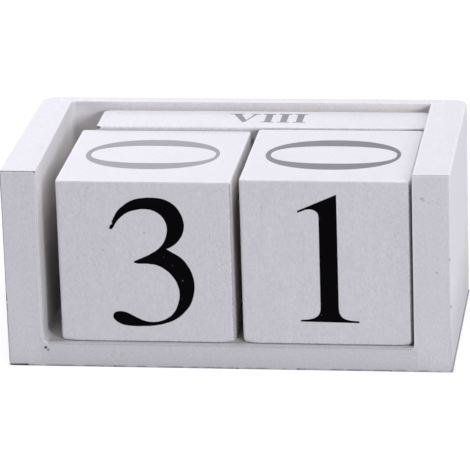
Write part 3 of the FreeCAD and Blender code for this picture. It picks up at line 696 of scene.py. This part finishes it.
# outlines in mm from each numeral's lower left corner
NUMERALS = {
    "0": [oval((14.2, 19.9), 14.2, 19.9, 2.15), oval((14.25, 20.1), 8.5, 18.6, 2.4)],
    "1": [[(11.4, 39.2, TURN), (11.45, 4.6, TURN), (11.8, 2.7), (12.6, 1.6), (13.7, 1.0),
           (17.4, 0.5, TURN), (17.4, 0.0, TURN), (0.3, 0.2, TURN), (0.3, 0.7, TURN), (3.0, 1.0),
           (4.5, 1.5), (5.6, 2.4), (6.05, 3.6), (6.15, 4.6, TURN), (6.15, 32.6, TURN), (5.9, 33.5),
           (5.0, 34.3), (3.7, 34.7), (0.0, 33.6, TURN), (0.0, 34.2, TURN)]],
    "2": [[(0.0, 0.0, TURN), (22.6, 0.0, TURN), (24.6, 9.8, TURN), (23.6, 9.8, TURN), (22.0, 6.4),
           (18.6, 5.2), (6.8, 5.2, TURN), (13.0, 10.6), (20.0, 17.2), (24.0, 24.2), (24.3, 30.4),
           (21.2, 36.6), (14.0, 39.4), (7.4, 38.2), (2.4, 34.0), (0.9, 28.8), (2.4, 25.8), (5.2, 25.2),
           (7.4, 27.0), (7.2, 29.8), (5.3, 32.2), (5.6, 35.6), (9.6, 37.8), (14.8, 36.2), (18.0, 30.4),
           (17.2, 23.2), (12.6, 14.8), (6.0, 6.8), (0.0, 1.0, TURN)]],
    "3": [[(0.0, 30.05, TURN), (1.0, 32.35), (2.7, 35.45), (4.7, 37.35), (7.2, 38.85), (10.2, 39.55),
           (13.2, 39.65), (16.2, 39.25), (19.2, 37.65), (21.0, 35.35), (22.0, 32.65), (22.15, 31.05),
           (21.7, 28.85), (20.3, 26.45), (18.5, 24.85), (16.7, 23.95, TURN), (18.2, 23.05), (20.9, 21.35),
           (22.9, 18.85), (24.2, 15.85), (24.65, 12.85), (24.3, 9.85), (23.3, 6.95), (21.6, 4.65),
           (19.1, 2.45), (15.7, 0.95), (12.2, 0.2), (8.7, 0.0), (5.2, 0.05), (2.5, 0.65), (0.7, 1.95),
           (0.25, 2.95), (0.7, 4.05), (2.0, 4.55), (3.3, 4.5), (4.7, 4.05), (7.2, 2.75), (9.7, 1.65),
           (11.7, 1.35), (14.2, 1.65), (16.7, 2.85), (18.3, 4.35), (19.5, 6.8), (20.05, 9.0), (20.1, 11.0),
           (19.6, 13.1), (18.4, 15.35), (16.5, 17.35), (14.0, 18.85), (11.2, 19.35), (7.7, 19.45),
           (6.9, 19.75, TURN), (7.2, 20.15, TURN), (9.2, 21.05), (12.2, 22.55), (14.9, 24.55),
           (16.3, 26.65), (17.0, 29.05), (17.1, 30.35), (16.6, 32.45), (15.3, 34.35), (13.2, 35.65),
           (10.7, 36.15), (8.2, 35.85), (5.7, 35.05), (3.7, 33.65), (2.2, 31.95), (1.3, 30.45),
           (0.8, 29.85, TURN)]],
    "4": [[(10.8, 0.0, TURN), (25.4, 0.0, TURN), (25.4, 0.6, TURN), (22.4, 1.4), (20.8, 4.2),
           (20.8, 9.6, TURN), (26.6, 9.6, TURN), (26.6, 11.6, TURN), (20.8, 11.6, TURN),
           (20.8, 39.4, TURN), (19.2, 39.4, TURN), (0.0, 11.6, TURN), (0.0, 9.6, TURN),
           (15.3, 9.6, TURN), (15.3, 4.2), (13.8, 1.4), (10.8, 0.6, TURN)],
          [(2.4, 11.6, TURN), (15.3, 11.6, TURN), (15.3, 30.4, TURN)]],
    "5": [[(3.0, 39.4, TURN), (12.0, 38.5), (21.4, 39.8, TURN), (18.8, 35.2), (13.4, 33.9), (4.1, 34.5, TURN),
           (3.8, 22.4, TURN), (7.6, 24.4), (12.6, 25.0), (20.2, 22.2), (24.4, 14.4), (23.4, 7.2),
           (18.2, 1.4), (10.6, -0.1), (3.8, 1.8), (0.4, 6.2), (1.0, 9.6), (3.8, 10.8), (6.4, 9.3),
           (6.7, 6.6), (5.6, 4.0), (7.2, 2.0), (11.0, 1.3), (15.8, 4.6), (17.7, 12.6), (16.0, 20.4),
           (11.6, 23.3), (7.0, 21.9), (3.7, 19.4, TURN), (2.7, 19.4, TURN)]],
    "6": [[(15.2, 39.4), (20.4, 37.6), (22.8, 33.8), (21.8, 30.6), (19.2, 29.6), (16.8, 31.0), (16.4, 33.8),
           (17.0, 36.2), (15.2, 37.9), (11.8, 36.8), (8.4, 31.2), (6.7, 24.0), (6.6, 20.8, TURN),
           (9.4, 23.8), (14.0, 25.0), (21.0, 21.8), (24.4, 12.8), (21.2, 3.4), (13.0, -0.1), (4.2, 3.8),
           (0.0, 15.8), (2.0, 28.6), (7.6, 36.6)],
          [(6.9, 13.0), (8.2, 20.2), (12.4, 23.2), (16.8, 20.2), (18.2, 12.4), (16.8, 4.4), (12.8, 1.2),
           (8.8, 4.6)]],
    "7": [[(1.4, 39.4, TURN), (24.6, 39.4, TURN), (24.6, 38.2, TURN), (17.8, 24.6), (14.0, 11.8),
           (13.4, 0.0, TURN), (6.8, 0.0, TURN), (7.6, 8.6), (11.6, 19.6), (20.8, 34.2, TURN), (7.2, 34.2),
           (3.2, 32.6), (1.3, 28.4, TURN), (0.2, 28.4, TURN)]],
    "8": [[(12.6, 39.5), (20.0, 37.0), (22.6, 30.4), (20.8, 24.8), (17.0, 21.4), (22.2, 17.4), (24.8, 10.4),
           (21.4, 2.8), (12.4, -0.1), (3.2, 2.8), (0.1, 9.6), (2.4, 16.2), (7.6, 20.2), (3.8, 24.0),
           (2.0, 29.8), (4.8, 36.6)],
          [(12.5, 38.1), (16.2, 35.6), (17.4, 30.4), (15.0, 23.4), (10.6, 25.6), (7.9, 31.0), (9.0, 36.0)],
          [(9.8, 18.4), (15.6, 14.4), (18.3, 9.0), (16.6, 3.4), (12.2, 1.2), (7.4, 3.6), (5.8, 9.4),
           (7.0, 14.6)]],
}

# each face of a cube: the ways across and up it, and which end of the box its lower left corner is at
FACES = {
    "front": ((1, 0, 0), (0, 0, 1), (0, 0, 0)),
    "back": ((-1, 0, 0), (0, 0, 1), (1, 1, 0)),
    "left": ((0, -1, 0), (0, 0, 1), (0, 1, 0)),
    "right": ((0, 1, 0), (0, 0, 1), (1, 0, 0)),
    "top": ((0, -1, 0), (1, 0, 0), (0, 1, 1)),
    "bottom": ((1, 0, 0), (0, -1, 0), (0, 1, 0)),
    "strip_top": ((1, 0, 0), (0, 1, 0), (0, 0, 1)),
}


def build_ink_film():
    """Matt ink that the brush laid unevenly; Wear is the share of pinholes that show the paint."""
    tree, given, result = new_group(
        "ink_film", "ShaderNodeTree",
        [(VECTOR, "Vector", None), (FLOAT, "Wear", 0.08)],
        [(FLOAT, "Cloud"), (FLOAT, "Hole")])
    place = given.outputs["Vector"]
    cells = add(tree, "ShaderNodeTexVoronoi", vector=place, scale=INK_CELL_SCALE)
    lot = add(tree, "ShaderNodeSeparateColor", color=cells.outputs["Color"])
    worn = (Figure(tree, given.outputs["Wear"]) - Figure(tree, lot.outputs[0])).over(0.0)
    plug(tree, speckle(tree, place, INK_CLOUD_SCALE, 3.0), result.inputs["Cloud"])
    plug(tree, ramp(tree, cells.outputs["Distance"], *INK_HOLE) * worn, result.inputs["Hole"])
    return tree


INK_FILM = build_ink_film()


def stencil_ink(name, colour, wear, sheen, chips=()):
    """Matt ink of one colour, its share of pinholes, its specular level, and chips at chosen places."""
    material, tree, shader, place = new_material(name)
    film = add(tree, "ShaderNodeGroup", {"node_tree": INK_FILM}, vector=place, wear=wear)
    cloud, hole = (Figure(tree, film.outputs[key]) for key in ("Cloud", "Hole"))
    level = add(tree, "ShaderNodeVectorMath", {"operation": "SCALE"}, scale=cloud * 0.12 + 1.0)
    plug(tree, colour, level.inputs[0])
    inked = blend_colour(tree, hole * 0.6, level.outputs[0], CHIPPED_INK)
    fill(tree, shader, base_color=marked(tree, place, inked, chips), specular_ior_level=sheen,
         roughness=cloud * 0.06 + INK_ROUGHNESS, normal=relief(tree, 0.4, INK_RELIEF, cloud - hole * 2.0))
    return material


def printed_shape(name, loops):
    """The outlines filled flat in the XY plane, as a film of ink with its back on z = 0."""
    curve = bpy.data.curves.new(name, "CURVE")
    curve.dimensions = "2D"
    curve.fill_mode = "BOTH"
    curve.resolution_u = 8
    curve.extrude = INK_THICKNESS * MM / 2
    for loop in loops:
        outline = curve.splines.new("BEZIER")
        outline.bezier_points.add(len(loop) - 1)
        outline.use_cyclic_u = True
        for knot, point in zip(outline.bezier_points, loop):
            knot.co = (point[0] * MM, point[1] * MM, INK_THICKNESS * MM / 2)
            knot.handle_left_type = knot.handle_right_type = "VECTOR" if point[-1] == TURN else "AUTO"
    holder = new_piece(name, curve)
    bpy.context.view_layer.update()
    mesh = bpy.data.meshes.new_from_object(holder)
    bpy.data.objects.remove(holder)
    for vertex in mesh.vertices:
        stray = noise.noise_vector(Vector((vertex.co.x, vertex.co.y, 0.0)) / (RAGGED_STEP * MM))
        vertex.co.x += stray.x * RAGGED * MM
        vertex.co.y += stray.y * RAGGED * MM
    return mesh


def print_on(name, node, face, loops, left, bottom, ink):
    """Prints the outlines on one face of a cube or strip, so many mm from its left and bottom edge."""
    across, up, ends = FACES[face]
    low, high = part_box(node)
    corner = Vector([b if end else a for a, b, end in zip(low, high, ends)])
    across, up = Vector(across), Vector(up)
    turn = Matrix((across, up, across.cross(up))).transposed().to_4x4()
    mesh = printed_shape(name, loops)
    mesh.transform(Matrix.Translation(corner + (across * left + up * bottom) * MM) @ turn)
    mesh.materials.clear()
    mesh.materials.append(ink)
    piece = new_piece(name, mesh)
    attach(piece, node)


def middle_of(loops, node, face):
    """The left and bottom margins that put the outlines in the middle of a face, in mm."""
    across, up, _ = FACES[face]
    low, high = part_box(node)
    margins = []
    for way, index in ((across, 0), (up, 1)):
        room = abs((Vector(high) - Vector(low)).dot(Vector(way))) / MM
        reach = [point[index] for point in loops[0]]
        margins.append((room - max(reach) - min(reach)) / 2)
    return margins


# which numeral each face carries, with its left and bottom margins where it is off the middle
PRINTS = {
    "tens_cube": {"front": ("3", 15.3, 4.95), "top": ("0", 9.75, 5.1), "left": ("5",), "right": ("1",),
                  "back": ("2",), "bottom": ("4",)},
    "units_cube": {"front": ("1", 16.8, 6.9), "top": ("0", 10.5, 5.1), "left": ("7",), "right": ("2",),
                   "back": ("6",), "bottom": ("8",)},
}
INK_CHIPS = on_front(
    TENS_BOX, -INK_THICKNESS, (0.5, WHITE_PAINT, 15.95, 36.68), (0.3, CHIPPED_INK, 36.55, 19.18),
    (0.3, THIN_INK, 31.15, 26.33), (0.35, THIN_INK, 33.65, 23.88), (0.3, THIN_INK, 36.1, 13.58))
DAY_INK = stencil_ink("black_stencil_ink", BLACK_INK, wear=0.08, sheen=0.02, chips=INK_CHIPS)
TENS_TOP_SHEEN_INK = stencil_ink("pale_stencil_ink", TENS_TOP_INK_SHEEN_GREY, wear=0.08, sheen=0.12)
TOP_SHEEN_INK = stencil_ink("faded_stencil_ink", TOP_INK_SHEEN_GREY, wear=0.08, sheen=0.12)
noise.seed_set(RAGGED_SEED)
for cube, faces in PRINTS.items():
    for face, (numeral, *margins) in faces.items():
        loops = NUMERALS[numeral]
        left, bottom = margins or middle_of(loops, cube, face)
        # the top faces take grey ink, a painted sheen
        ink = DAY_INK if face != "top" else TENS_TOP_SHEEN_INK if cube == "tens_cube" else TOP_SHEEN_INK
        print_on(cube + "_" + face + "_numeral", cube, face, loops, left, bottom, ink)

# ----------------------------------
# Month strips: twelve thin painted slats, one for each month, lying loose in a pile. The month in
# use lies on top. Each carries its number in Roman capitals in the same ink, painted grey as a
# painted sheen, and each front is painted darker as shade.

# painted shade over the fronts of the strips
STRIP_FRONT_SHADE = (0.68, 0.67, 0.66)
# the grey of the month ink on the strips' tops is a painted sheen
MONTH_INK_SHEEN_GREY = (0.235, 0.229, 0.226)
STRIP_CORNERS = {"Front Corner": 0.5, "Rear Corner": 2.0, "Top Edge": 0.35, "Foot Edge": 0.4,
                 "Foot Corner": 0.5}
STRIP_ROWS = (72, 28, 16)
STRIP_RUB = 0.6            # as for the cubes
STRIP_SHIFT = Vector((0.0, 0.0, 0.083))    # m, as for the cubes
FIRST_STRIP_SEED = 10.0    # the strips' seeds go on from here, clear of the cubes'
ROMAN = ["VIII", "IX", "X", "XI", "XII", "I", "II", "III", "IV", "V", "VI", "VII"]
CAPITAL_HEIGHT, SERIF = 8.5, 0.45      # mm
# the number's middle from the left end of a strip, its foot from the front and its spacing, in mm
WORD_MIDDLE, WORD_FOOT, LETTER_SPACE = 51.2, 5.0, 0.9


def crossing(a, b, c, d):
    """Where the line through a and b meets the line through c and d."""
    (ax, ay), (bx, by), (cx, cy), (dx, dy) = a, b, c, d
    share = ((cx - ax) * (dy - cy) - (cy - ay) * (dx - cx)) / ((bx - ax) * (dy - cy) - (by - ay) * (dx - cx))
    return (ax + share * (bx - ax), ay + share * (by - ay))


TOP, NECK = CAPITAL_HEIGHT, CAPITAL_HEIGHT - SERIF
X_THICK = (((1.0, NECK), (5.8, SERIF)), ((3.3, NECK), (8.15, SERIF)))
X_THIN = (((1.1, SERIF), (6.95, NECK)), ((1.75, SERIF), (7.6, NECK)))
# the outline and the width of each capital, in mm
CAPITALS = {
    "I": ([(0, 0), (3.9, 0), (3.9, SERIF), (2.95, SERIF + 0.2), (2.95, NECK - 0.2), (3.9, NECK), (3.9, TOP),
           (0, TOP), (0, NECK), (0.95, NECK - 0.2), (0.95, SERIF + 0.2), (0, SERIF)], 3.9),
    "V": ([(0, TOP), (0, NECK), (1.15, NECK), (4.5, 0), (5.2, 0), (8.25, NECK), (9.3, NECK), (9.3, TOP),
           (6.4, TOP), (6.4, NECK), (7.55, NECK), (5.5, 2.3), (3.4, NECK), (4.3, NECK), (4.3, TOP)], 9.3),
    "X": ([(0, 0), (3.0, 0), (3.0, SERIF), X_THIN[1][0], crossing(*X_THICK[0], *X_THIN[1]), X_THICK[0][1],
           (4.8, SERIF), (4.8, 0), (9.1, 0), (9.1, SERIF), X_THICK[1][1], crossing(*X_THICK[1], *X_THIN[1]),
           X_THIN[1][1], (8.8, NECK), (8.8, TOP), (5.9, TOP), (5.9, NECK), X_THIN[0][1],
           crossing(*X_THICK[1], *X_THIN[0]), X_THICK[1][0], (4.2, NECK), (4.2, TOP), (0.1, TOP),
           (0.1, NECK), X_THICK[0][0], crossing(*X_THICK[0], *X_THIN[0]), X_THIN[0][0], (0, SERIF)], 9.1),
}


def roman_outlines(text):
    """The outlines of a Roman number and its width in mm, every corner sharp."""
    loops, start = [], 0.0
    for letter in text:
        outline, width = CAPITALS[letter]
        loops.append([(start + x, y, TURN) for x, y in outline])
        start += width + LETTER_SPACE
    return loops, start - LETTER_SPACE


MONTH_SHEEN_INK = stencil_ink("faded_month_ink", MONTH_INK_SHEEN_GREY, wear=0.1, sheen=0.12)
for number, month in enumerate(ROMAN, 1):
    strip = "month_strip_%02d" % number
    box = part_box(strip)
    length = (box[1][0] - box[0][0]) / MM
    # painted shade over each strip's front face
    marks = on_front(box, -0.2, (2.4, STRIP_FRONT_SHADE, 0.0, 1.6, length, 1.6))
    # a dark mark at the top strip's front left corner
    if number == 1:
        marks += on_front(box, 0.0, (0.5, WORN_WOOD_AND_SHADOW, 0.4, 3.6, 0.9, 3.7))
    finish = painted_wood("paint_" + strip, box, "X", marks, STRIP_RUB, STRIP_SHIFT * number)
    slat = sanded_block(strip + "_slat", strip, STRIP_CORNERS, STRIP_ROWS, FIRST_STRIP_SEED + number, finish)
    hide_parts(strip)
    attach(slat, strip)
    loops, width = roman_outlines(month)
    print_on(strip + "_month", strip, "strip_top", loops, WORD_MIDDLE - width / 2, WORD_FOOT, MONTH_SHEEN_INK)

# ----------------------------------
# Studio: a pale sweep, two broad soft boxes overhead, one at the front right and one behind, and
# the camera. The sweep shows white to the camera and still takes the tray's shadow.

SWEEP_SIZE = 4.0                # m from its middle to each edge
SWEEP_GREY, SWEEP_ROUGHNESS = 0.5, 0.9
SWEEP_GAP = 0.03                # mm under the tray
# the glow where the camera or a gloss sees the sweep: under the rim, beside the tray and far off
CONTACT_LIFT, NEAR_LIFT, FAR_LIFT = 0.0, 0.68, 1.0
SQUARE_FOOT = 0.36              # mm that the contact shadow draws in where the foot is square
ROUND_CORNER = 4.5              # mm, the radius with which it follows the tray's two rear corners
CONTACT_REACH = (-0.1, 0.4)     # mm outside the tray between which the first passes into the second
FAR_REACH = (0.25, 0.9)         # m from the middle between which the second passes into the third
COOL_WHITE = (0.97, 0.98, 1.13)
LAMP_AIM = (0, 0, 0.03)
# each soft box: where it hangs, its width and height, and its power in watts
SOFT_BOXES = {
    "overhead_left": ((-0.82, 0.0, 1.26), (1.0, 1.2), 11.13),
    "overhead_right": ((0.82, 0.0, 1.26), (1.0, 1.2), 10.85),
    "front_right": ((0.86, -1.22, 0.45), (0.3, 0.4), 11.1),
    "behind": ((-0.5, 1.5, 0.7), (0.8, 0.6), 4.8),
}


def seen_directly(tree):
    """1 for rays from the camera, off a gloss or through glass; 0 for the light that fills the scene."""
    path = add(tree, "ShaderNodeLightPath")
    camera_ray, glossy, through = (Figure(tree, path.outputs[name]) for name in (
        "Is Camera Ray", "Is Glossy Ray", "Is Transmission Ray"))
    return camera_ray.at_least(glossy).at_least(through)


def beyond_tray(tree, place):
    """How far a point of the sweep lies outside the tray, with its round rear corners, in metres."""
    x, y, _ = three_ways(tree, place)
    end, front = cad_box[1][0], cad_box[1][1]
    square = (x.size() - end).at_least(y.size() - front + SQUARE_FOOT * MM)
    past_x = (x.size() - end + ROUND_CORNER * MM).at_least(0.0)
    past_y = (y - front + ROUND_CORNER * MM).at_least(0.0)
    return square.at_least((past_x * past_x + past_y * past_y).reckon("SQRT") - ROUND_CORNER * MM)


def white_sweep():
    """Matt grey to the light that fills the scene, but it glows white where it is seen."""
    material, tree, shader, place = new_material("sweep_white")
    beside = ramp(tree, beyond_tray(tree, place).socket, *mm(CONTACT_REACH))
    from_middle = add(tree, "ShaderNodeVectorMath", {"operation": "LENGTH"}, vector=place)
    far_off = ramp(tree, from_middle.outputs["Value"], *FAR_REACH)
    lift = beside * (NEAR_LIFT - CONTACT_LIFT) + far_off * (FAR_LIFT - NEAR_LIFT) + CONTACT_LIFT
    fill(tree, shader, base_color=(SWEEP_GREY, SWEEP_GREY, SWEEP_GREY, 1), roughness=SWEEP_ROUGHNESS,
         specular_ior_level=0.0, emission_color=(1, 1, 1, 1), emission_strength=seen_directly(tree) * lift)
    return material


sheet = bpy.data.meshes.new("sweep")
sheet.from_pydata([(x * SWEEP_SIZE, y * SWEEP_SIZE, 0) for x, y in ((-1, -1), (1, -1), (1, 1), (-1, 1))],
                  [], [(0, 1, 2, 3)])
sheet.materials.append(white_sweep())
sweep = new_piece("sweep", sheet)
sweep.location.z = -SWEEP_GAP * MM

world = bpy.data.worlds.new("studio")
bpy.context.scene.world = world
world.use_nodes = True
backdrop = world.node_tree.nodes["Background"]
fill(world.node_tree, backdrop, color=(1, 1, 1, 1), strength=seen_directly(world.node_tree))

for name, (place, size, watts) in SOFT_BOXES.items():
    lamp = bpy.data.lights.new(name, "AREA")
    lamp.shape = "RECTANGLE"
    lamp.size, lamp.size_y = size
    lamp.energy = watts
    lamp.color = COOL_WHITE
    holder = new_piece(name, lamp)
    holder.location = place
    holder.rotation_euler = (Vector(LAMP_AIM) - Vector(place)).to_track_quat("-Z", "Y").to_euler()

# a long lens, a little to the right of the tray and above it, looking down and slightly tilted
SIDEWAYS, DOWN, TILT = (math.radians(angle) for angle in (7.844, 18.684, -1.828))
AIM = Vector((2.98, -37.7, 41.47)) * MM
DISTANCE = 1087.2 * MM
LENS, SENSOR = 287.82, 36.0     # the camera's own mm
look = Vector((-math.sin(SIDEWAYS) * math.cos(DOWN), math.cos(SIDEWAYS) * math.cos(DOWN), -math.sin(DOWN)))
level = look.cross(Vector((0, 0, 1))).normalized()
upright = level.cross(look)
right = math.cos(TILT) * level + math.sin(TILT) * upright
up = math.cos(TILT) * upright - math.sin(TILT) * level
lens = bpy.data.cameras.new("camera")
lens.lens = LENS
lens.sensor_width = SENSOR
lens.clip_end = 50.0
camera = new_piece("camera", lens)
turned = Matrix((right, up, -look)).transposed().to_4x4()
camera.matrix_world = Matrix.Translation(AIM - look * DISTANCE) @ turned
bpy.context.scene.camera = camera
bpy.context.scene.view_settings.view_transform = "Standard"
